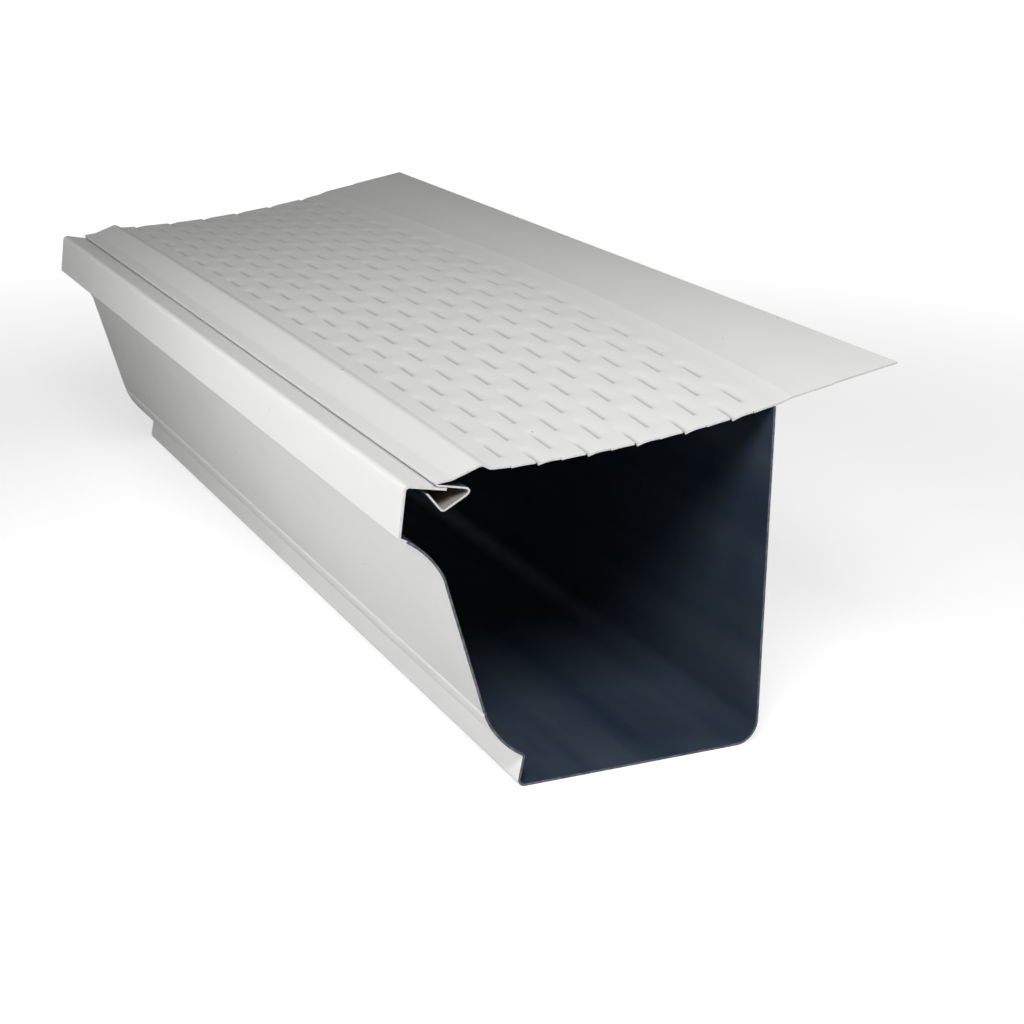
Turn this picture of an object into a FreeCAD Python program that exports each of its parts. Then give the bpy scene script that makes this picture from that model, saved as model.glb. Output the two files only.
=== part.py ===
import FreeCAD, Part
import math
import os
import re
import Sketcher

# A short length of ogee eaves gutter with a louvred guard hooked on its front lip.
# Millimetres. X runs along the length, -Y is the front, +Y is the wall and roof side, Z is up.
# Sections are drawn with y = 0 at the gutter's front edge and z = 0 under its floor.

doc = FreeCAD.newDocument("gutter_guard")
dims = doc.addObject("Spreadsheet::Sheet", "dims")

sizes = [
    # Length shared by both sheets
    ("sample_length", 425.0),
    # Gutter section
    ("gutter_gauge", 0.8),
    ("gutter_width", 127.0),
    ("back_height", 114.2),
    ("front_height", 103.2),
    ("floor_width", 87.0),
    ("heel_radius", 8.0),
    ("toe_radius", 2.5),
    ("toe_height", 10.4),
    ("toe_lean", 1.5),
    ("belly_height", 26.0),
    ("belly_reach", 11.8),
    ("belly_radius", 32.0),
    ("cove_height", 72.6),
    ("cove_depth", 14.3),
    ("cove_radius", 30.0),
    ("band_height", 16.5),
    ("band_lean", 1.9),
    ("lip_depth", 13.5),
    ("lip_fall", 2.4),
    ("lip_bend", 1.2),
    # Guard section: fold over the lip, strip, step, louvred panel, small ramp and rear flange
    ("guard_gauge", 0.6),
    ("fold_set", 10.0),
    ("fold_radius", 0.9),
    ("fold_gap", 0.9),
    ("strip_width", 14.0),
    ("strip_rise", 3.3),
    ("lead_width", 4.4),
    ("lead_rise", 0.3),
    ("step_run", 2.8),
    ("step_drop", 1.6),
    ("bend_set", 2.0),
    ("panel_sag", 2.1),
    ("ramp_run", 4.0),
    ("ramp_rise", 1.4),
    ("flange_reach", 42.8),
    ("flange_rise", 9.0),
    ("guard_bend", 1.0),
    ("seat_clearance", 0.3),
    # Guard hook that wraps the lip
    ("hook_reach", 8.3),
    ("spring_run", 9.6),
    ("spring_drop", 5.4),
    ("tip_run", 4.4),
    ("tip_gap", 1.5),
    # Louvres
    ("louvre_rows", 11),
    ("row_pitch", 8.3),
    ("rear_margin", 2.0),
    ("slit_pitch", 25.4),
    ("slit_length", 17.0),
    ("first_slit", 17.0),
    ("dish_depth", 1.2),
    ("dish_reach", 5.5),
]
for line, (name, value) in enumerate(sizes, start=1):
    dims.set("A%d" % line, name)
    dims.set("B%d" % line, str(value))
    dims.setAlias("B%d" % line, name)
doc.recompute()


def bound(words):
    # Every size has an underscore in its name, so these are the words that the sheet holds.
    return re.sub(r"([a-z]+_[a-z_]+)", r"dims.\1", words)


def worth(words):
    return float(dims.evalExpression(bound(words)))


def arc_between(start, end, radius, turn):
    # Arc of less than half a circle; turn is +1 where it bends to the left of the way it goes.
    middle = (start + end) * 0.5
    chord = end - start
    left = FreeCAD.Vector(-chord.y, chord.x, 0)
    left.normalize()
    height = math.sqrt(max(radius * radius - chord.Length * chord.Length / 4, 0))
    centre = middle + left * (height * turn)
    first, last = (start, end) if turn > 0 else (end, start)
    angle_first = math.atan2(first.y - centre.y, first.x - centre.x)
    angle_last = math.atan2(last.y - centre.y, last.x - centre.x)
    if angle_last < angle_first:
        angle_last += 2 * math.pi
    circle = Part.Circle(centre, FreeCAD.Vector(0, 0, 1), radius)
    return Part.ArcOfCircle(circle, angle_first, angle_last)


def section(name, corners, rounds, bends, bend_radius, start_x):
    # One open line across the length. rounds gives the arc that leaves a corner: (radius, turn).
    # bends lists the corners, each between two straight runs, that are rounded like bent sheet.
    sketch = doc.addObject("Sketcher::SketchObject", name)
    upright = FreeCAD.Rotation(FreeCAD.Vector(1, 1, 1), 120)
    sketch.Placement = FreeCAD.Placement(FreeCAD.Vector(0, 0, 0), upright)
    sketch.setExpression("Placement.Base.x", bound(start_x))
    sketch.setExpression("Placement.Base.y", bound("-(" + middle_y + ")"))
    spots = [FreeCAD.Vector(worth(across), worth(height), 0) for across, height in corners]
    ends = []
    for number in range(len(spots) - 1):
        here, there = spots[number], spots[number + 1]
        if number in rounds:
            radius, turn = rounds[number]
            edge = sketch.addGeometry(arc_between(here, there, worth(radius), turn))
            ends.append((edge, 1, 2) if turn > 0 else (edge, 2, 1))
            rule = sketch.addConstraint(Sketcher.Constraint("Radius", edge, worth(radius)))
            sketch.setExpression("Constraints[%d]" % rule, bound(radius))
        else:
            edge = sketch.addGeometry(Part.LineSegment(here, there))
            ends.append((edge, 1, 2))
    for number in range(1, len(ends)):
        before, after = ends[number - 1], ends[number]
        sketch.addConstraint(Sketcher.Constraint("Coincident", before[0], before[2], after[0], after[1]))
    for number, (across, height) in enumerate(corners):
        edge, point = ends[number][:2] if number < len(ends) else ends[-1][::2]
        for kind, axis, words in (("DistanceX", -2, across), ("DistanceY", -1, height)):
            if words == "0":
                sketch.addConstraint(Sketcher.Constraint("PointOnObject", edge, point, axis))
                continue
            rule = sketch.addConstraint(Sketcher.Constraint(kind, -1, 1, edge, point, worth(words)))
            sketch.setExpression("Constraints[%d]" % rule, bound(words))
    doc.recompute()
    for number in bends:
        sketch.fillet(ends[number][0], ends[number][1], worth(bend_radius), True, True)
        arcs = [place for place, edge in enumerate(sketch.Geometry) if hasattr(edge, "Radius")]
        rule = sketch.addConstraint(Sketcher.Constraint("Radius", arcs[-1], worth(bend_radius)))
        sketch.setExpression("Constraints[%d]" % rule, bound(bend_radius))
    return sketch


def sheet_metal(name, line, gauge, length):
    # Thickens a section line to one side and runs it along the length.
    band = doc.addObject("Part::Offset2D", name + "_band")
    band.Source = line
    band.Mode = "Skin"
    band.Join = "Arc"
    band.Fill = True
    band.setExpression("Value", bound(gauge))
    run = doc.addObject("Part::Extrusion", name)
    run.Base = band
    run.DirMode = "Custom"
    run.Dir = FreeCAD.Vector(1, 0, 0)
    run.Solid = True
    run.setExpression("LengthFwd", bound(length))
    return run


# The whole part is centred on Y between the gutter's front edge and the guard's rear edge.
middle_y = "(gutter_width + bend_set + flange_reach) / 2"

# Gutter section, from the top of the back wall round the floor and up the ogee front to the lip.
toe_y = "(gutter_width - floor_width)"
cove_y = "cove_depth"
gutter_corners = [
    ("gutter_width", "back_height"),
    ("gutter_width", "heel_radius"),
    ("gutter_width - heel_radius", "0"),
    (toe_y + " + toe_radius", "0"),
    (toe_y, "toe_radius"),
    (toe_y + " + toe_lean", "toe_height"),
    (toe_y + " - belly_reach", "belly_height"),
    (cove_y, "cove_height"),
    ("0", "front_height - band_height"),
    ("band_lean", "front_height"),
    ("band_lean + lip_depth", "front_height - lip_fall"),
]
gutter_rounds = {
    1: ("heel_radius", -1),
    3: ("toe_radius", -1),
    5: ("belly_radius", -1),
    7: ("cove_radius", 1),
}
band_top = 9
gutter_line = section(
    "gutter_line", gutter_corners, gutter_rounds, [band_top], "lip_bend", "-sample_length / 2"
)
gutter = sheet_metal("gutter_sheet", gutter_line, "gutter_gauge", "sample_length")
gutter.Label = "gutter_trough"

# Guard section, from the rear edge forward over the louvred panel, round the fold and the hook.
panel_rear_y = "(gutter_width + bend_set)"
panel_length = "(louvre_rows * row_pitch + rear_margin)"
panel_front_y = "(" + panel_rear_y + " - " + panel_length + ")"
lip_slope = "(lip_fall / lip_depth)"
fold_y = "(band_lean + fold_set)"
lip_at_fold = "(front_height - " + lip_slope + " * fold_set)"
fold_z = "(" + lip_at_fold + " + fold_gap + fold_radius)"
ridge_y = "(" + fold_y + " + fold_radius + strip_width)"
ridge_z = "(" + fold_z + " + fold_radius + strip_rise)"
panel_front_z = "(" + ridge_z + " - step_drop)"
# The panel lies just clear of the back wall's top edge and runs on past it to the bend.
seat_z = "(back_height + seat_clearance + guard_gauge)"
rear_slope = "((" + seat_z + " - " + panel_front_z + " + 4 * panel_sag) / " + panel_length + ")"
panel_rear_z = "(" + seat_z + " + " + rear_slope + " * bend_set)"


def panel_height(row):
    # A shallow hollow across the panel, level rows along it.
    share = "(%d * row_pitch / " % row + panel_length + ")"
    chord = panel_front_z + " + (" + panel_rear_z + " - " + panel_front_z + ") * " + share
    return chord + " - 4 * panel_sag * " + share + " * (1 - " + share + ")"


rows = int(worth("louvre_rows"))
slit_lines = [
    (panel_front_y + " + row_pitch * %d" % row, panel_height(row)) for row in range(rows + 1)
]
hook_y = "(band_lean + lip_depth + hook_reach)"
hook_z = "(front_height - " + lip_slope + " * (lip_depth + hook_reach) + fold_gap)"
tip_y = "(" + hook_y + " - spring_run - tip_run)"
tip_z = "(front_height - " + lip_slope + " * (" + tip_y + " - band_lean) - gutter_gauge - tip_gap)"
guard_corners = [
    (panel_rear_y + " + flange_reach", panel_rear_z + " + flange_rise"),
    (panel_rear_y + " + ramp_run", panel_rear_z + " + ramp_rise"),
    (panel_rear_y, panel_rear_z),
]
guard_corners += list(reversed(slit_lines))
guard_corners += [
    (ridge_y + " + step_run", panel_front_z),
    (ridge_y, ridge_z),
    (fold_y + " + fold_radius + lead_width", fold_z + " + fold_radius + lead_rise"),
    (fold_y + " + fold_radius", fold_z + " + fold_radius"),
    (fold_y + " + fold_radius", fold_z + " - fold_radius"),
    (hook_y, hook_z),
    (hook_y + " - spring_run", hook_z + " - spring_drop"),
    (tip_y, tip_z),
]
ramp_top = 1
step_foot = rows + 4
ridge = step_foot + 1
lead_rear = step_foot + 2
fold_top = step_foot + 3
hook_rear = fold_top + 2
hook_foot = fold_top + 3
guard_rounds = {fold_top: ("fold_radius * 1.001", 1)}
guard_bends = [ramp_top, step_foot, ridge, lead_rear, hook_rear, hook_foot]
guard_line = section(
    "guard_line", guard_corners, guard_rounds, guard_bends, "guard_bend", "-sample_length / 2 - slit_pitch"
)
guard_sheet = sheet_metal("guard_sheet", guard_line, "-guard_gauge", "sample_length + 2 * slit_pitch")

# One louvre: a slit along X with the sheet behind it dished down in flat facets of a leaning drum.
# It is drawn with the slit on the X axis, the panel level and the dish on the +Y side.
dish_lean = "atan(dish_depth / dish_reach)"
dish_fall = "(dish_depth * cos(" + dish_lean + "))"
dish_radius = "((slit_length * slit_length / 4 + " + dish_fall + " ^ 2) / (2 * " + dish_fall + "))"
dish_margin = "(dish_reach + dish_depth)"
# With this many sides a facet lies at the bottom of the dish, and one rises to each end of the slit.
drum_sides = 26


def dish_drum(name, thickness):
    # Its lowest facet rises from the slit's depth to the panel over the reach of the dish.
    drum = doc.addObject("Part::Prism", name)
    drum.Polygon = drum_sides
    corner = " / cos(180 deg / %d)" % drum_sides
    drum.setExpression("Circumradius", bound("(" + dish_radius + " + " + thickness + ")" + corner))
    drum.setExpression("Height", bound("4 * " + dish_margin))
    drum.Placement.Rotation = FreeCAD.Rotation(FreeCAD.Vector(1, 0, 0), -90)
    drum.setExpression("Placement.Rotation.Angle", bound("-90 deg + " + dish_lean))
    behind = dish_radius + " * sin(" + dish_lean + ") + 2 * " + dish_margin + " * cos(" + dish_lean + ")"
    above = dish_radius + " * cos(" + dish_lean + ") - 2 * " + dish_margin + " * sin(" + dish_lean + ")"
    drum.setExpression("Placement.Base.y", bound("-(" + behind + ")"))
    drum.setExpression("Placement.Base.z", bound(above + " - dish_depth"))
    return drum


def dish_block(name, low, high):
    # Keeps what lies behind the slit and between two heights.
    block = doc.addObject("Part::Box", name)
    block.setExpression("Length", bound("slit_length + 4 * guard_gauge + 4 * dish_depth"))
    block.setExpression("Width", bound("2 * " + dish_margin))
    block.setExpression("Height", bound(high + " - (" + low + ")"))
    block.setExpression("Placement.Base.x", bound("-(slit_length + 4 * guard_gauge + 4 * dish_depth) / 2"))
    block.setExpression("Placement.Base.z", bound(low))
    return block


def dish(name, thickness, low, high):
    shape = doc.addObject("Part::Common", name)
    shape.Base = dish_drum(name + "_drum", thickness)
    shape.Tool = dish_block(name + "_block", low, high)
    return shape


flap = dish("louvre_flap", "guard_gauge", "-2 * (dish_depth + guard_gauge)", "-guard_gauge / 2")
hollow = dish("louvre_hollow", "0", "-2 * (dish_depth + guard_gauge)", "guard_gauge")
doc.recompute()


def louvre_places():
    # Rows step up the panel, and every second row is shifted by half a pitch.
    pitch = worth("slit_pitch")
    half_length = worth("sample_length") / 2
    shift_y = worth(middle_y)
    columns = int(2 * half_length / pitch) + 2
    spots = [(worth(across) - shift_y, worth(height)) for across, height in slit_lines]
    for row in range(rows):
        here, behind = spots[row], spots[row + 1]
        slope = math.degrees(math.atan2(behind[1] - here[1], behind[0] - here[0]))
        tilt = FreeCAD.Rotation(FreeCAD.Vector(1, 0, 0), slope)
        first = half_length - worth("first_slit") + (pitch / 2 if row % 2 else 0)
        for column in range(columns):
            along = first - column * pitch
            if abs(along) < half_length + worth("slit_length"):
                yield FreeCAD.Placement(FreeCAD.Vector(along, here[0], here[1]), tilt)


def louvre_set(name, pattern):
    copies = []
    for place in louvre_places():
        copy = pattern.Shape.copy()
        copy.Placement = place
        copies.append(copy)
    group = doc.addObject("Part::Feature", name)
    group.Shape = Part.makeCompound(copies)
    return group


formed = doc.addObject("Part::MultiFuse", "guard_formed")
formed.Shapes = [guard_sheet, louvre_set("louvre_flaps", flap)]
lanced = doc.addObject("Part::Cut", "guard_lanced")
lanced.Base = formed
lanced.Tool = louvre_set("louvre_hollows", hollow)

# The louvred sheet is cut square to the length of the gutter.
cut_length = doc.addObject("Part::Box", "cut_length")
cut_length.setExpression("Length", bound("sample_length"))
cut_length.setExpression("Width", bound("2 * (" + middle_y + ") + 4 * flange_rise"))
cut_length.setExpression("Height", bound("2 * (" + panel_rear_z + " + flange_rise)"))
cut_length.setExpression("Placement.Base.x", bound("-sample_length / 2"))
cut_length.setExpression("Placement.Base.y", bound("-(" + middle_y + ") - 2 * flange_rise"))
guard = doc.addObject("Part::Common", "guard")
guard.Base = lanced
guard.Tool = cut_length
guard.Label = "guard_panel"
doc.recompute()

for item in doc.Objects:
    if "Invalid" in item.State or "Error" in item.State:
        raise RuntimeError(item.Name + " did not build: " + ", ".join(item.State))
os.makedirs("parts", exist_ok=True)
for piece in (gutter, guard):
    if piece.Shape.isNull() or not piece.Shape.isValid() or len(piece.Shape.Solids) != 1:
        raise RuntimeError(piece.Label + " is not one valid solid")
for piece in (gutter, guard):
    print(piece.Label, piece.Shape.BoundBox, round(piece.Shape.Volume, 1))
    piece.Shape.exportStep("parts/" + piece.Label + ".step")
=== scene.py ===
import math

import bmesh
import bpy
from mathutils import Matrix, Vector


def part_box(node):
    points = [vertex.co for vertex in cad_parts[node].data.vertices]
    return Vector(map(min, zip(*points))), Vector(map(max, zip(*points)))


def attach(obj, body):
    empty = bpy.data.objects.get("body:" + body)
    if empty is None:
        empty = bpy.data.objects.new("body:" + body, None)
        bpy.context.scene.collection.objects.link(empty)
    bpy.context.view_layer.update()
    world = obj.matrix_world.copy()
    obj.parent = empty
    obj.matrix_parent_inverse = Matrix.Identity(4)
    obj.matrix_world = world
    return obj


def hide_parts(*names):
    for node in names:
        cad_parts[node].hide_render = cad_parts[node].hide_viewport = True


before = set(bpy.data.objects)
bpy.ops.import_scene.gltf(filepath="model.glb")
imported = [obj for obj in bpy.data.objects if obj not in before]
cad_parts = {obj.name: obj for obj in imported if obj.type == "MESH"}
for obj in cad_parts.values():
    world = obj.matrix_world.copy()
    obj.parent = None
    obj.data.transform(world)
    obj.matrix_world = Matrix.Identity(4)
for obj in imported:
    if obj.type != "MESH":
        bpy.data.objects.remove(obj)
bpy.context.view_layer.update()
mm = 0.001
gutterLow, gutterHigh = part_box("gutter_trough")
sampleLength = gutterHigh.x - gutterLow.x
frontY = gutterLow.y    # sections are measured from the gutter's front edge
print("frame loaded, sample length", round(sampleLength, 4))


# Small helpers for working in edit mode without a window

slacks = {
    "edge": 0.02 * mm,      # an edge this near a point of the section runs through it
    "spot": 0.01 * mm,      # a vertex this near a spot of the louvre grid is the one meant
    "louvres": 0.02 * mm,   # the louvres of a row are welded within this
    "rows": 0.03 * mm,      # and the rows within this
    "wall": 0.1 * mm,       # faces this near the back wall's plane are its own
    "flange": 10 * mm,      # faces this far behind the back wall belong to the flange
}


def pickOnly(piece):
    for other in bpy.context.selected_objects:
        other.select_set(False)
    piece.select_set(True)
    bpy.context.view_layer.objects.active = piece


def startEdit(piece, kind="EDGE"):
    pickOnly(piece)
    bpy.ops.object.mode_set(mode="EDIT")
    bpy.ops.mesh.select_mode(type=kind)


def endEdit():
    bpy.ops.object.mode_set(mode="OBJECT")


def selectWhere(kind, test):
    mesh = bpy.context.edit_object.data
    bpy.ops.mesh.select_mode(type=kind)
    bpy.ops.mesh.select_all(action="DESELECT")
    grid = bmesh.from_edit_mesh(mesh)
    parts = {"VERT": grid.verts, "EDGE": grid.edges}[kind]
    for part in parts:
        if test(part):
            part.select_set(True)
    grid.select_flush_mode()
    bmesh.update_edit_mesh(mesh)


def applyPlace(piece):
    pickOnly(piece)
    bpy.ops.object.transform_apply(location=True, rotation=True, scale=True)


def applyModifiers(piece):
    pickOnly(piece)
    for modifier in list(piece.modifiers):
        bpy.ops.object.modifier_apply(modifier=modifier.name)


def place(across, height):
    # A point of a section, in millimetres from the front edge and from the floor.
    return Vector((0, frontY + across * mm, height * mm))


def edgeAt(point):
    # True for edges along the length that run through a point of the section.
    near = slacks["edge"]

    def test(edge):
        return all(
            abs(vert.co.y - point.y) < near and abs(vert.co.z - point.z) < near for vert in edge.verts
        )
    return test


def pullEdge(here, there):
    step = there - here
    bpy.ops.mesh.extrude_edges_move(TRANSFORM_OT_translate={"value": (0, step.y, step.z)})
    return there


def rollEdge(here, there, radius, turn, steps):
    # Spins the selected edge to the next point; turn is 1 where the line bends to its left.
    chord = there - here
    left = Vector((0, -chord.z, chord.y)).normalized()
    rise = math.sqrt(max(radius * radius - chord.length_squared / 4, 0))
    centre = (here + there) / 2 + left * rise * turn
    sweep = 2 * math.asin(min(chord.length / 2 / radius, 1)) * turn
    bpy.ops.mesh.spin(steps=steps, angle=-sweep, center=centre, axis=(1, 0, 0))
    return there


def roundBend(before, here, after, radius, steps):
    # Bevels a sharp bend of the section so that the sheet turns with this radius.
    turn = (here - before).angle(after - here)
    selectWhere("EDGE", edgeAt(here))
    bpy.ops.mesh.bevel(offset=radius * math.tan(turn / 2), segments=steps, affect="EDGES")


def trimEnds(spare, closed):
    # Cuts the sheet in edit mode square at both ends, this far past the gutter's own ends.
    for end, outward in ((gutterLow.x - spare, -1), (gutterHigh.x + spare, 1)):
        bpy.ops.mesh.select_all(action="SELECT")
        bpy.ops.mesh.bisect(
            plane_co=(end, 0, 0), plane_no=(outward, 0, 0), clear_outer=True, use_fill=closed
        )


print("helpers ready")


# Gutter: one sheet rolled from the back wall round to the lip, in millimetres

gutterSizes = {
    "gauge": 0.8,
    "heelRadius": 8.0,
    "floorWidth": 87.0,
    "toeRadius": 2.5,
    "toeHeight": 10.4,
    "toeLean": 1.5,
    "bellyHeight": 26.0,
    "bellyReach": 11.8,
    "bellyRadius": 32.0,
    "coveHeight": 72.6,
    "coveDepth": 14.3,
    "coveRadius": 30.0,
    "bandHeight": 16.5,
    "bandLean": 1.9,
    "frontHeight": 103.2,
    "lipDepth": 13.5,
    "lipFall": 2.4,
    "lipBend": 1.8,
    "otherBend": 0.9,
    "creaseWidth": 1.1,
    "creaseDepth": 0.25,
    "heelSteps": 12,        # faces round each curve
    "toeSteps": 8,
    "ogeeSteps": 14,
    "bendSteps": 5,
}


def makeGutter(sizes):
    width = (gutterHigh.y - gutterLow.y) / mm
    wallTop = place(width, gutterHigh.z / mm)
    wallFoot = place(width, sizes["heelRadius"])
    heelEnd = place(width - sizes["heelRadius"], 0)
    toeY = width - sizes["floorWidth"]
    toeSide = place(toeY, sizes["toeRadius"])
    toeTop = place(toeY + sizes["toeLean"], sizes["toeHeight"])
    bellyEnd = place(toeY - sizes["bellyReach"], sizes["bellyHeight"])
    coveStart = place(sizes["coveDepth"], sizes["coveHeight"])
    bandFoot = place(0, sizes["frontHeight"] - sizes["bandHeight"])
    bandTop = place(sizes["bandLean"], sizes["frontHeight"])
    lipEnd = place(sizes["bandLean"] + sizes["lipDepth"], sizes["frontHeight"] - sizes["lipFall"])
    bpy.ops.mesh.primitive_plane_add(size=1, location=(wallTop + wallFoot) / 2, rotation=(math.pi / 2, 0, 0))
    sheet = bpy.context.object
    sheet.name = "gutterTrough"
    sheet.scale = (sampleLength, wallTop.z - wallFoot.z, 1)
    applyPlace(sheet)
    startEdit(sheet)
    selectWhere("EDGE", edgeAt(wallFoot))
    here = rollEdge(wallFoot, heelEnd, sizes["heelRadius"] * mm, -1, sizes["heelSteps"])
    here = pullEdge(here, place(toeY + sizes["toeRadius"], 0))
    here = rollEdge(here, toeSide, sizes["toeRadius"] * mm, -1, sizes["toeSteps"])
    here = pullEdge(here, toeTop)
    here = rollEdge(here, bellyEnd, sizes["bellyRadius"] * mm, -1, sizes["ogeeSteps"])
    flat = (coveStart - bellyEnd).normalized()
    inward = Vector((0, flat.z, -flat.y))
    crease = bellyEnd + (flat * sizes["creaseWidth"] / 2 + inward * sizes["creaseDepth"]) * mm
    here = pullEdge(here, crease)
    here = pullEdge(here, bellyEnd + flat * sizes["creaseWidth"] * mm)
    here = pullEdge(here, coveStart)
    here = rollEdge(here, bandFoot, sizes["coveRadius"] * mm, 1, sizes["ogeeSteps"])
    here = pullEdge(here, bandTop)
    pullEdge(here, lipEnd)
    roundBend(bandFoot, bandTop, lipEnd, sizes["lipBend"] * mm, sizes["bendSteps"])
    roundBend(coveStart, bandFoot, bandTop, sizes["otherBend"] * mm, sizes["bendSteps"])
    roundBend(toeSide, toeTop, bellyEnd, sizes["otherBend"] * mm, sizes["bendSteps"])
    endEdit()
    return sheet


gutterTrough = makeGutter(gutterSizes)
print("gutter rolled,", len(gutterTrough.data.polygons), "faces")


# Guard: louvre rows first, then the plain runs in front of and behind them, in millimetres

guardSizes = {
    "gauge": 0.6,
    "foldSet": 10.0,
    "foldGap": 0.08,
    "foldRadius": 0.7,
    "foldEase": 1.001,      # a hair over the radius, so that the fold's half turn always closes
    "leadWidth": 4.4,
    "leadRise": 0.5,
    "stripWidth": 14.0,
    "stripRise": 4.0,
    "stepRun": 2.8,
    "stepDrop": 1.6,
    "panelSag": 2.1,
    "bendSet": 2.0,
    "rampRun": 4.0,
    "rampRise": 1.4,
    "flangeReach": 42.8,
    "flangeRise": 8.98,
    "creaseSet": 18.0,
    "creaseRun": 1.6,
    "creaseLift": 0.12,
    "seatClearance": 0.3,
    "hookReach": 8.3,
    "springRun": 9.6,
    "springDrop": 5.4,
    "tipRun": 4.4,
    "tipGap": 1.5,
    "bend": 1.0,
    "leadBend": 6.0,
    "ridgeBend": 2.6,
    "footBend": 2.4,
    "rampBend": 4.0,
    "foldSteps": 10,        # faces round each curve
    "bendSteps": 4,
    "spareEnd": 8.0,        # the sheet is longer by this at each end until it is cut
}

louvreSizes = {
    "rows": 11,
    "rowPitch": 8.3,
    "rearMargin": 2.0,
    "slitPitch": 25.4,
    "firstSlit": 17.0,
    "spareLouvres": 4,                      # more than fill the length, cut off later
    "columns": 12,                          # faces along one louvre
    "lines": (0.0, 0.16, 0.36, 0.62, 1.0),  # where faces meet across it, as shares of a row
    "slitColumns": 9,                       # how many of the columns the slit takes
    "endRun": 1.6,                          # columns over which the dish comes up to a slit's end
    "dishDepth": 0.72,
    "dishReach": 5.0,
    "dishCurve": 1.2,
    "slitGap": 0.68,                        # how far the dish's edge stands back from the front edge
    "gapReach": 0.36,                       # the share of a row over which that gap closes
    "paintedShade": 0.74,                          # how dark the painted shade behind a slit is
    "shadeReach": 2.4,
    "shadeRise": (-8.5, -1.0),              # from a slit's middle: where the painted shade begins and is darkest,
    "shadeFade": (7.0, 9.5),                # and where it thins out and ends
}

# The sheet has sprung up between its ends. Each pair is a place across the section and the lift there.
guardBow = {
    "lifts": (
        (14, 0), (36, 3.0), (52, 5.2), (77, 7.6), (94, 8.4),
        (110, 8.2), (129, 6.6), (150, 3.1), (160, 1.3), (171, 0),
    ),
    "lean": 0.85,           # below 1 the top of the bow lies nearer the +X end
    "under": 102.6,         # the hook below this height stays on the lip
}


def guardSection(sizes, louvres, gutter):
    # The points that the guard's top face passes through, and the front line of each louvre row.
    width = (gutterHigh.y - gutterLow.y) / mm
    panelRear = width + sizes["bendSet"]
    panelLength = louvres["rows"] * louvres["rowPitch"] + louvres["rearMargin"]
    lipSlope = gutter["lipFall"] / gutter["lipDepth"]
    foldY = gutter["bandLean"] + sizes["foldSet"]
    foldZ = gutter["frontHeight"] - lipSlope * sizes["foldSet"] + sizes["foldGap"] + sizes["foldRadius"]
    foldFace = foldY + sizes["foldRadius"]
    foldTop = foldZ + sizes["foldRadius"]
    ridgeY = foldFace + sizes["stripWidth"]
    ridgeZ = foldTop + sizes["stripRise"]
    footZ = ridgeZ - sizes["stepDrop"]
    seatZ = gutterHigh.z / mm + sizes["seatClearance"] + sizes["gauge"]
    # The panel is a parabola, lowest against its chord by panelSag at the middle.
    rearSlope = (seatZ - footZ + 4 * sizes["panelSag"]) / panelLength
    rearZ = seatZ + rearSlope * sizes["bendSet"]
    rows = []
    for row in range(louvres["rows"] + 1):
        share = row * louvres["rowPitch"] / panelLength
        height = footZ + (rearZ - footZ) * share - 4 * sizes["panelSag"] * share * (1 - share)
        rows.append(place(panelRear - panelLength + row * louvres["rowPitch"], height))
    hookY = gutter["bandLean"] + gutter["lipDepth"] + sizes["hookReach"]
    hookZ = gutter["frontHeight"] - lipSlope * (gutter["lipDepth"] + sizes["hookReach"])
    hookZ += sizes["foldGap"]
    tipY = hookY - sizes["springRun"] - sizes["tipRun"]
    tipDrop = lipSlope * (tipY - gutter["bandLean"]) + gutter["gauge"] + sizes["tipGap"]
    return {
        "rows": rows,
        "stepFoot": place(ridgeY + sizes["stepRun"], footZ),
        "ridge": place(ridgeY, ridgeZ),
        "lead": place(foldFace + sizes["leadWidth"], foldTop + sizes["leadRise"]),
        "foldTop": place(foldFace, foldTop),
        "foldUnder": place(foldFace, foldZ - sizes["foldRadius"]),
        "hookRear": place(hookY, hookZ),
        "hookFoot": place(hookY - sizes["springRun"], hookZ - sizes["springDrop"]),
        "hookTip": place(tipY, gutter["frontHeight"] - tipDrop),
        "panelRear": place(panelRear, rearZ),
        "rampTop": place(panelRear + sizes["rampRun"], rearZ + sizes["rampRise"]),
        "flangeEdge": place(panelRear + sizes["flangeReach"], rearZ + sizes["flangeRise"]),
    }


def alongSlit(column, louvres):
    # One along the slit, falling smoothly to nothing at its ends.
    fromMiddle = abs(column - louvres["columns"] / 2)
    share = min(max((louvres["slitColumns"] / 2 - fromMiddle) / louvres["endRun"], 0), 1)
    return share * share * (3 - 2 * share)


def louvreDepth(column, share, louvres):
    rise = max(0, 1 - share * louvres["rowPitch"] / louvres["dishReach"])
    return louvres["dishDepth"] * alongSlit(column, louvres) * rise ** louvres["dishCurve"]


def slitSetback(column, share, louvres):
    # The slit is open like a lens: the dish's edge stands back from the front edge.
    return louvres["slitGap"] * alongSlit(column, louvres) * max(0, 1 - share / louvres["gapReach"])


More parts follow.
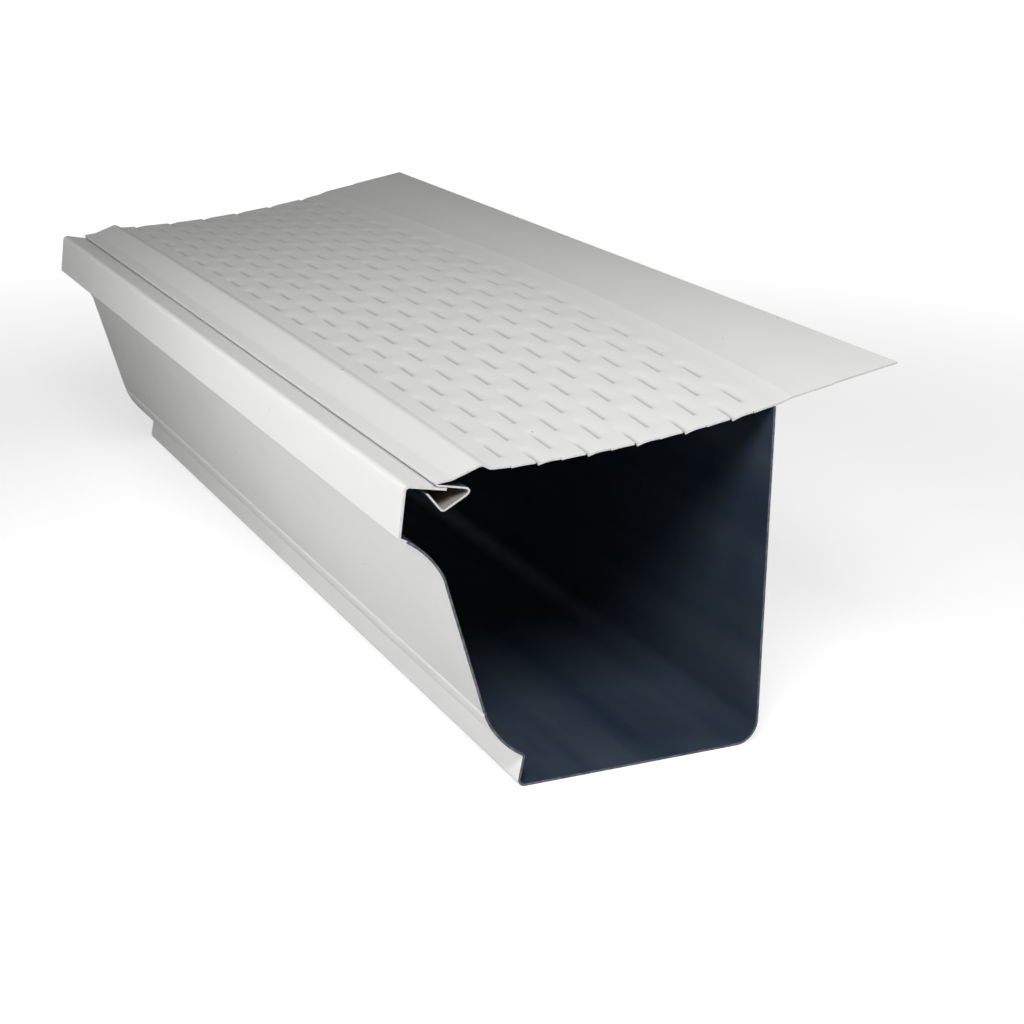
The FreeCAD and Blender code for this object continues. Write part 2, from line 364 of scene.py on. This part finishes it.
def louvreRow(louvres, dished):
    # One louvre on a small grid, its slit on the front edge, repeated along the length.
    pitch, depth = louvres["slitPitch"] * mm, louvres["rowPitch"] * mm
    columns, lines = louvres["columns"], louvres["lines"]
    bpy.ops.mesh.primitive_grid_add(x_subdivisions=columns, y_subdivisions=len(lines) - 1, size=1)
    tile = bpy.context.object
    tile.scale = (pitch, depth, 1)
    tile.location = (0, depth / 2, 0)
    applyPlace(tile)
    startEdit(tile, "VERT")
    for line, share in reversed(list(enumerate(lines))):
        evenly = line / (len(lines) - 1)
        for column in range(columns + 1):
            spot = Vector(((column / columns - 0.5) * pitch, evenly * depth))
            drop = louvreDepth(column, share, louvres) * dished
            back = (share - evenly) * depth + slitSetback(column, share, louvres) * dished * mm
            selectWhere("VERT", lambda vert: (vert.co.xy - spot).length < slacks["spot"])
            bpy.ops.transform.translate(value=(0, back, -drop * mm))
    endEdit()
    copies = tile.modifiers.new("along", "ARRAY")
    copies.count = int(sampleLength / pitch) + louvres["spareLouvres"]
    copies.use_relative_offset = False
    copies.use_constant_offset = True
    copies.constant_offset_displace = (-pitch, 0, 0)
    copies.use_merge_vertices = True
    copies.merge_threshold = slacks["louvres"]
    applyModifiers(tile)
    return tile


def layRow(row, start, end, louvres, along):
    # Tilts a row of louvres to lie between two lines of the section.
    run = end - start
    row.scale = (1, run.length / (louvres["rowPitch"] * mm), 1)
    row.rotation_euler = (math.atan2(run.z, run.y), 0, 0)
    row.location = (along, start.y, start.z)
    applyPlace(row)


def layLouvres(points, louvres):
    # Every second row is shifted by half a pitch, and so is the plain run in front of the first.
    firstAlong = gutterHigh.x + (louvres["slitPitch"] - louvres["firstSlit"]) * mm
    shift = louvres["slitPitch"] / 2 * mm
    strips = [louvreRow(louvres, False)]
    layRow(strips[0], points["stepFoot"], points["rows"][0], louvres, firstAlong + shift)
    pattern = louvreRow(louvres, True)
    for row in range(louvres["rows"]):
        strip = pattern.copy()
        strip.data = pattern.data.copy()
        bpy.context.scene.collection.objects.link(strip)
        along = firstAlong + (shift if row % 2 else 0)
        layRow(strip, points["rows"][row], points["rows"][row + 1], louvres, along)
        strips.append(strip)
    bpy.data.objects.remove(pattern)
    pickOnly(strips[0])
    for strip in strips:
        strip.select_set(True)
    bpy.ops.object.join()
    return bpy.context.object


def makeGuard(sizes, louvres, gutter):
    points = guardSection(sizes, louvres, gutter)
    sheet = layLouvres(points, louvres)
    sheet.name = "guardPanel"
    startEdit(sheet, "VERT")
    bpy.ops.mesh.select_all(action="SELECT")
    bpy.ops.mesh.remove_doubles(threshold=slacks["rows"])
    trimEnds(sizes["spareEnd"] * mm, False)
    # Forward from the first row: step, strip, fold and hook.
    selectWhere("EDGE", edgeAt(points["stepFoot"]))
    here = pullEdge(points["stepFoot"], points["ridge"])
    here = pullEdge(here, points["lead"])
    here = pullEdge(here, points["foldTop"])
    foldRadius = sizes["foldRadius"] * sizes["foldEase"] * mm
    here = rollEdge(here, points["foldUnder"], foldRadius, 1, sizes["foldSteps"])
    here = pullEdge(here, points["hookRear"])
    here = pullEdge(here, points["hookFoot"])
    pullEdge(here, points["hookTip"])
    # Back from the last row: margin, ramp and flange with its faint crease.
    selectWhere("EDGE", edgeAt(points["rows"][-1]))
    here = pullEdge(points["rows"][-1], points["panelRear"])
    here = pullEdge(here, points["rampTop"])
    flange = points["flangeEdge"] - points["rampTop"]
    share = (sizes["creaseSet"] - sizes["rampRun"]) * mm / flange.y
    creaseFront = points["rampTop"] + flange * share
    creaseFront.z -= sizes["creaseLift"] * mm
    creaseRear = points["rampTop"] + flange * (share + sizes["creaseRun"] * mm / flange.y)
    creaseRear.z += sizes["creaseLift"] * mm
    here = pullEdge(here, creaseFront)
    here = pullEdge(here, creaseRear)
    pullEdge(here, points["flangeEdge"])
    bends = [
        (points["rows"][0], points["stepFoot"], points["ridge"], "footBend"),
        (points["stepFoot"], points["ridge"], points["lead"], "ridgeBend"),
        (points["ridge"], points["lead"], points["foldTop"], "leadBend"),
        (points["foldUnder"], points["hookRear"], points["hookFoot"], "bend"),
        (points["hookRear"], points["hookFoot"], points["hookTip"], "bend"),
        (points["panelRear"], points["rampTop"], creaseFront, "rampBend"),
    ]
    for before, corner, after, radius in bends:
        roundBend(before, corner, after, sizes[radius] * mm, sizes["bendSteps"])
    endEdit()
    return sheet


def bowLift(spot, bow):
    across, height = (spot.y - frontY) / mm, spot.z / mm
    if height < bow["under"] or across < bow["lifts"][0][0]:
        return 0
    share = min(max((gutterHigh.x - spot.x) / sampleLength, 0), 1)
    along = math.sin(math.pi * share ** bow["lean"])
    for (start, low), (end, high) in zip(bow["lifts"], bow["lifts"][1:]):
        if across < end:
            return along * (low + (high - low) * (across - start) / (end - start)) * mm
    return 0


def bowSheet(sheet, bow):
    for vert in sheet.data.vertices:
        vert.co.z += bowLift(vert.co, bow)


guardPanel = makeGuard(guardSizes, louvreSizes, gutterSizes)
bowSheet(guardPanel, guardBow)
print("guard formed,", len(guardPanel.data.polygons), "faces")


# Both sheets get their thickness, square ends and smooth faces

sheetSlots = {"skin": 0, "back": 1, "rim": 2}   # places in a sheet's list of finishes
slitZone = (30.0, 128.0)    # where the slits lie across the section
hookZone = (25.0, 101.8)    # the hook lies in front of and under this
lipZone = (20.0, 86.0)      # the band and the lip lie in front of and above this
endFacing = 0.99            # how squarely a cut end looks along the length
smoothAngle = 32


def faceOut(sheet, looksOut):
    # Turns the skin so that the faces which the test knows look outwards.
    startEdit(sheet, "FACE")
    bpy.ops.mesh.select_all(action="SELECT")
    bpy.ops.mesh.normals_make_consistent(inside=False)
    endEdit()
    if False in [looksOut(face) for face in sheet.data.polygons]:
        startEdit(sheet, "FACE")
        bpy.ops.mesh.select_all(action="SELECT")
        bpy.ops.mesh.flip_normals()
        endEdit()


def wallLooksBack(face):
    return face.normal.y > 0 if abs(face.center.y - gutterHigh.y) < slacks["wall"] else None


def flangeLooksUp(face):
    return face.normal.z > 0 if face.center.y > gutterHigh.y + slacks["flange"] else None


def thicken(sheet, gauge):
    # The skin stays where it was drawn and the gauge goes inwards.
    wall = sheet.modifiers.new("gauge", "SOLIDIFY")
    wall.thickness = gauge * mm
    wall.offset = -1
    wall.use_even_offset = True
    wall.material_offset = sheetSlots["back"]
    wall.material_offset_rim = sheetSlots["rim"]
    applyModifiers(sheet)


def cutEnds(sheet, painted):
    # Shears both ends square and closes them; paint is drawn over the cut.
    startEdit(sheet, "FACE")
    trimEnds(0, True)
    endEdit()
    for face in sheet.data.polygons:
        toEnd = min(abs(face.center.x - end) for end in (gutterLow.x, gutterHigh.x))
        if abs(face.normal.x) > endFacing and toEnd < mm:
            face.material_index = painted


def dressFaces(sheet, old, new, test):
    for face in sheet.data.polygons:
        across, height = (face.center.y - frontY) / mm, face.center.z / mm
        if face.material_index == old and test(across, height):
            face.material_index = new


def awayFromSlits(across, height):
    return not slitZone[0] < across < slitZone[1]


def insideHook(across, height):
    return across < hookZone[0] and height < hookZone[1]


def atLip(across, height):
    return across < lipZone[0] and height > lipZone[1]


def finishSheet(sheet, gauge, looksOut, finishes, hooked):
    faceOut(sheet, looksOut)
    sheet.data.materials.clear()
    for finish in finishes:
        sheet.data.materials.append(finish)
    thicken(sheet, gauge)
    painted = len(finishes) - 1
    if hooked:
        cutEnds(sheet, painted)
        dressFaces(sheet, sheetSlots["rim"], painted, awayFromSlits)
        dressFaces(sheet, sheetSlots["skin"], painted - 1, insideHook)   # painted shade: the enamel inside the hook is darker
    else:
        dressFaces(sheet, sheetSlots["rim"], painted, atLip)
    pickOnly(sheet)
    bpy.ops.object.shade_smooth_by_angle(angle=math.radians(smoothAngle))


# Finishes, all from nodes on Object coordinates

def newFinish(name):
    finish = bpy.data.materials.new(name)
    finish.use_nodes = True
    shader = finish.node_tree.nodes["Principled BSDF"]
    return finish, finish.node_tree, shader


def addNode(tree, kind, **settings):
    node = tree.nodes.new(kind)
    for name, value in settings.items():
        setattr(node, name, value)
    return node


def noiseNode(tree, scale, detail, stretch=(1, 1, 1)):
    # Noise on Object coordinates, drawn out along the sheet by the stretch.
    where = addNode(tree, "ShaderNodeTexCoord")
    turn = addNode(tree, "ShaderNodeMapping")
    turn.inputs["Scale"].default_value = stretch
    tree.links.new(where.outputs["Object"], turn.inputs["Vector"])
    noise = addNode(tree, "ShaderNodeTexNoise")
    noise.inputs["Scale"].default_value = scale
    noise.inputs["Detail"].default_value = detail
    tree.links.new(turn.outputs["Vector"], noise.inputs["Vector"])
    return noise.outputs["Fac"]


def rampNode(tree, source, low, high, lowColour, highColour):
    ramp = addNode(tree, "ShaderNodeValToRGB")
    ramp.color_ramp.elements[0].position = low
    ramp.color_ramp.elements[1].position = high
    ramp.color_ramp.elements[0].color = (*lowColour, 1)
    ramp.color_ramp.elements[1].color = (*highColour, 1)
    tree.links.new(source, ramp.inputs["Fac"])
    return ramp.outputs["Color"]


def mixNode(tree, share, under, over):
    # Lays a plain colour over another; a colour mix has its colours on inputs 6 and 7.
    mix = addNode(tree, "ShaderNodeMix", data_type="RGBA")
    tree.links.new(share, mix.inputs[0])
    tree.links.new(under, mix.inputs[6])
    mix.inputs[7].default_value = (*over, 1)
    return mix.outputs[2]


def mathNode(tree, operation, first, second=0.0):
    node = addNode(tree, "ShaderNodeMath", operation=operation)
    for socket, value in zip(node.inputs, (first, second)):
        if isinstance(value, (int, float)):
            socket.default_value = value
        else:
            tree.links.new(value, socket)
    return node.outputs["Value"]


def fadeNode(tree, source, start, end):
    # One at the start, fading smoothly to nothing at the end.
    fade = addNode(tree, "ShaderNodeMapRange", interpolation_type="SMOOTHSTEP")
    fade.inputs["From Min"].default_value = start
    fade.inputs["From Max"].default_value = end
    fade.inputs["To Min"].default_value = 1
    fade.inputs["To Max"].default_value = 0
    tree.links.new(source, fade.inputs["Value"])
    return fade.outputs["Result"]


enamelLook = {
    "white": (0.77, 0.77, 0.755),
    "shade": (0.735, 0.738, 0.728),
    "clouds": (9, 3, (0.35, 1, 1)),     # noise: scale, detail and stretch
    "cloudRange": (0.35, 0.65),
    "speck": (0.30, 0.29, 0.27),
    "specks": (300, 1),
    "speckRange": (0.82, 0.835),
    "slitShade": (0.20, 0.20, 0.19),         # painted shade behind the slits
    "gloss": 0.28,
    "glossSpread": 0.1,
    "glossNoise": (60, 4),
    "peel": 0.05,
    "peelNoise": (900, 2),
}

# A darker copy of the enamel: painted shade inside the hook.
shadedHookLook = dict(
    enamelLook,
    white=(0.40, 0.385, 0.35),
    shade=(0.24, 0.225, 0.20),
    speck=(0.16, 0.15, 0.13),
    gloss=0.5,
)

backerLook = {
    "dark": (0.015, 0.032, 0.058),
    "worn": (0.050, 0.068, 0.094),
    "streaks": (40, 4, (0.08, 1, 1)),
    "streakRange": (0.35, 0.7),
    "gloss": 0.52,
    "glossSpread": 0.12,
    "glossNoise": (80, 3),
    "peel": 0.06,
    "peelNoise": (700, 2),
}

cutLook = {
    "bright": (0.20, 0.21, 0.23),
    "dull": (0.08, 0.09, 0.11),
    "grain": (600, 3),
    "grainRange": (0.35, 0.65),
    "metallic": 0.1,
    "rough": 0.5,
}

slitLook = dict(cutLook, bright=(0.26, 0.26, 0.26), dull=(0.14, 0.14, 0.15))
paintedLook = dict(cutLook, bright=(0.84, 0.84, 0.83), dull=(0.74, 0.74, 0.73))

glossRange = (0.3, 0.7)
peelDepth = 0.2 * mm
wholePitches = 50       # added so that the count of slits is never below nought


def slitPaintedShade(tree, louvres, firstRow):
    # How much painted shade a point gets, from its place behind the nearest slit.
    def worth(operation, first, second=0.0):
        return mathNode(tree, operation, first, second)

    where = addNode(tree, "ShaderNodeTexCoord")
    split = addNode(tree, "ShaderNodeSeparateXYZ")
    tree.links.new(where.outputs["Object"], split.inputs["Vector"])
    rows = worth("DIVIDE", worth("SUBTRACT", split.outputs["Y"], firstRow), louvres["rowPitch"] * mm)
    behind = worth("MULTIPLY", worth("FRACT", rows), louvres["rowPitch"])
    halfShift = worth("MULTIPLY", worth("FLOORED_MODULO", worth("FLOOR", rows), 2.0), 0.5)
    fromFirst = worth("SUBTRACT", split.outputs["X"], gutterHigh.x - louvres["firstSlit"] * mm)
    pitches = worth("ADD", worth("DIVIDE", fromFirst, louvres["slitPitch"] * mm), halfShift)
    within = worth("SUBTRACT", worth("FRACT", worth("ADD", pitches, wholePitches + 0.5)), 0.5)
    along = worth("MULTIPLY", within, louvres["slitPitch"])
    near = fadeNode(tree, behind, 0.0, louvres["shadeReach"])
    begun = worth("SUBTRACT", 1.0, fadeNode(tree, along, *louvres["shadeRise"]))
    notOver = fadeNode(tree, along, *louvres["shadeFade"])
    halfPanel = louvres["rows"] / 2
    onPanel = worth("LESS_THAN", worth("ABSOLUTE", worth("SUBTRACT", rows, halfPanel)), halfPanel)
    spot = worth("MULTIPLY", worth("MULTIPLY", near, begun), notOver)
    return worth("MULTIPLY", worth("MULTIPLY", spot, onPanel), louvres["paintedShade"])


def coatSurface(tree, shader, look):
    # Uneven gloss and a fine orange peel.
    low, high = look["gloss"], look["gloss"] + look["glossSpread"]
    uneven = noiseNode(tree, *look["glossNoise"])
    rough = rampNode(tree, uneven, *glossRange, (low,) * 3, (high,) * 3)
    tree.links.new(rough, shader.inputs["Roughness"])
    bump = addNode(tree, "ShaderNodeBump")
    bump.inputs["Strength"].default_value = look["peel"]
    bump.inputs["Distance"].default_value = peelDepth
    tree.links.new(noiseNode(tree, *look["peelNoise"]), bump.inputs["Height"])
    tree.links.new(bump.outputs["Normal"], shader.inputs["Normal"])


def enamelFinish(name, look, louvres=None, firstRow=0):
    finish, tree, shader = newFinish(name)
    clouds = noiseNode(tree, *look["clouds"])
    colour = rampNode(tree, clouds, *look["cloudRange"], look["shade"], look["white"])
    if louvres:
        # painted shade behind each slit, laid over the enamel's colour
        colour = mixNode(tree, slitPaintedShade(tree, louvres, firstRow), colour, look["slitShade"])
    specks = rampNode(tree, noiseNode(tree, *look["specks"]), *look["speckRange"], (0, 0, 0), (1, 1, 1))
    tree.links.new(mixNode(tree, specks, colour, look["speck"]), shader.inputs["Base Color"])
    coatSurface(tree, shader, look)
    return finish


def backerFinish(name, look):
    finish, tree, shader = newFinish(name)
    streaks = noiseNode(tree, *look["streaks"])
    colour = rampNode(tree, streaks, *look["streakRange"], look["dark"], look["worn"])
    tree.links.new(colour, shader.inputs["Base Color"])
    coatSurface(tree, shader, look)
    return finish


def cutFinish(name, look):
    # A sheared edge, bare or with paint drawn over it.
    finish, tree, shader = newFinish(name)
    grain = noiseNode(tree, *look["grain"])
    colour = rampNode(tree, grain, *look["grainRange"], look["dull"], look["bright"])
    tree.links.new(colour, shader.inputs["Base Color"])
    shader.inputs["Metallic"].default_value = look["metallic"]
    shader.inputs["Roughness"].default_value = look["rough"]
    return finish


whiteEnamel = enamelFinish("whiteEnamel", enamelLook)
guardPoints = guardSection(guardSizes, louvreSizes, gutterSizes)
# this enamel carries the painted shade behind the slits
louvredEnamel = enamelFinish("louvredEnamel", enamelLook, louvreSizes, guardPoints["rows"][0].y)
shadedHookEnamel = enamelFinish("shadedHookEnamel", shadedHookLook)
darkBacker = backerFinish("darkBacker", backerLook)
cutEdge = cutFinish("cutEdge", cutLook)
slitEdge = cutFinish("slitEdge", slitLook)
paintedEdge = cutFinish("paintedEdge", paintedLook)
gutterFinishes = [whiteEnamel, darkBacker, cutEdge, paintedEdge]
guardFinishes = [louvredEnamel, darkBacker, slitEdge, shadedHookEnamel, paintedEdge]
finishSheet(gutterTrough, gutterSizes["gauge"], wallLooksBack, gutterFinishes, False)
finishSheet(guardPanel, guardSizes["gauge"], flangeLooksUp, guardFinishes, True)
for piece, node, slot in (
    (gutterTrough, "gutter_trough", "gutter_enamel"),
    (guardPanel, "guard_panel", "guard_enamel"),
):
    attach(piece, "root")
    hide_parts(node)
    print(piece.name, "has", len(piece.data.polygons), "faces", [round(v, 4) for v in piece.dimensions])


# Stage: a pale floor, soft light and the photograph's viewpoint

stageSizes = {
    "floor": 12.0,
    "floorColour": (0.50, 0.50, 0.50),
    "floorRough": 0.9,
    "floorGlow": 0.97,          # seen by the camera only: keeps the paper pale far from the lamps
    "floorDip": 0.32,           # painted shade: it glows less round the object, so the floor is darker where its shadow lies
    "dipReach": (0.25, 0.80),
    "wallLight": 0.26,          # pale walls all round, up to the first height
    "ceilingLight": 0.0,
    "wallTop": 0.35,
    "ceilingStart": 0.75,
}

lampList = [
    # name, place, size, power, aimed at
    ("nearLamp", (0.52, -0.22, 0.50), 0.25, 2.9, (0.10, 0.0, 0.11)),
    ("lowLamp", (0.16, -0.45, 0.05), 0.20, 0.98, (0.10, -0.04, 0.02)),
    ("midLamp", (0.03, -0.22, 0.22), 0.12, 0.075, (0.0, -0.08, 0.10)),
    ("rearLamp", (0.26, 0.26, 0.42), 0.25, 0.62, (0.10, 0.06, 0.12)),
    ("farLamp", (-0.15, -0.45, 0.34), 0.25, 0.25, (-0.05, -0.08, 0.10)),
]

cameraView = {
    "place": (0.7277, -0.2926, 0.2770),
    "azimuth": 64.734,
    "elevation": 18.096,
    "roll": 0.8975,
    "lens": 70.87,
    "sensor": 36,
    "nearest": 0.01,
}


def layFloor(sizes):
    bpy.ops.mesh.primitive_plane_add(size=sizes["floor"], location=(0, 0, 0))
    floor = bpy.context.object
    floor.name = "floor"
    finish, tree, shader = newFinish("floorPaper")
    shader.inputs["Base Color"].default_value = (*sizes["floorColour"], 1)
    shader.inputs["Roughness"].default_value = sizes["floorRough"]
    shader.inputs["Emission Color"].default_value = (1, 1, 1, 1)
    seen = addNode(tree, "ShaderNodeLightPath")
    where = addNode(tree, "ShaderNodeTexCoord")
    away = addNode(tree, "ShaderNodeVectorMath", operation="LENGTH")
    tree.links.new(where.outputs["Object"], away.inputs[0])
    nearby = fadeNode(tree, away.outputs["Value"], *sizes["dipReach"])
    # painted shade: less glow near the object
    dip = mathNode(tree, "MULTIPLY", nearby, sizes["floorDip"])
    glow = mathNode(tree, "SUBTRACT", sizes["floorGlow"], dip)
    shown = mathNode(tree, "MULTIPLY", seen.outputs["Is Camera Ray"], glow)
    tree.links.new(shown, shader.inputs["Emission Strength"])
    floor.data.materials.append(finish)


def lightRoom(sizes):
    world = bpy.data.worlds.new("studio")
    world.use_nodes = True
    tree = world.node_tree
    where = addNode(tree, "ShaderNodeTexCoord")
    split = addNode(tree, "ShaderNodeSeparateXYZ")
    tree.links.new(where.outputs["Generated"], split.inputs["Vector"])
    walls, ceiling = (sizes["wallLight"],) * 3, (sizes["ceilingLight"],) * 3
    room = rampNode(tree, split.outputs["Z"], sizes["wallTop"], sizes["ceilingStart"], walls, ceiling)
    tree.links.new(room, tree.nodes["Background"].inputs["Color"])
    bpy.context.scene.world = world
    bpy.context.scene.view_settings.view_transform = "Standard"


def addLamp(name, spot, size, power, aim):
    lamp = bpy.data.lights.new(name, "AREA")
    lamp.shape = "DISK"
    lamp.size = size
    lamp.energy = power
    holder = bpy.data.objects.new(name, lamp)
    bpy.context.scene.collection.objects.link(holder)
    holder.location = spot
    holder.rotation_euler = (Vector(aim) - Vector(spot)).to_track_quat("-Z", "Y").to_euler()
    holder.visible_camera = False


def addCamera(view):
    camera = bpy.data.cameras.new("camera")
    camera.lens = view["lens"]
    camera.sensor_width = view["sensor"]
    camera.clip_start = view["nearest"]
    holder = bpy.data.objects.new("camera", camera)
    bpy.context.scene.collection.objects.link(holder)
    holder.location = view["place"]
    turn = Matrix.Rotation(math.radians(view["azimuth"]), 3, "Z")
    tilt = Matrix.Rotation(math.radians(90 - view["elevation"]), 3, "X")
    roll = Matrix.Rotation(math.radians(view["roll"]), 3, "Z")
    holder.rotation_euler = (turn @ tilt @ roll).to_euler()
    bpy.context.scene.camera = holder


layFloor(stageSizes)
lightRoom(stageSizes)
for lamp in lampList:
    addLamp(*lamp)
addCamera(cameraView)
print("stage, lamps and camera set")
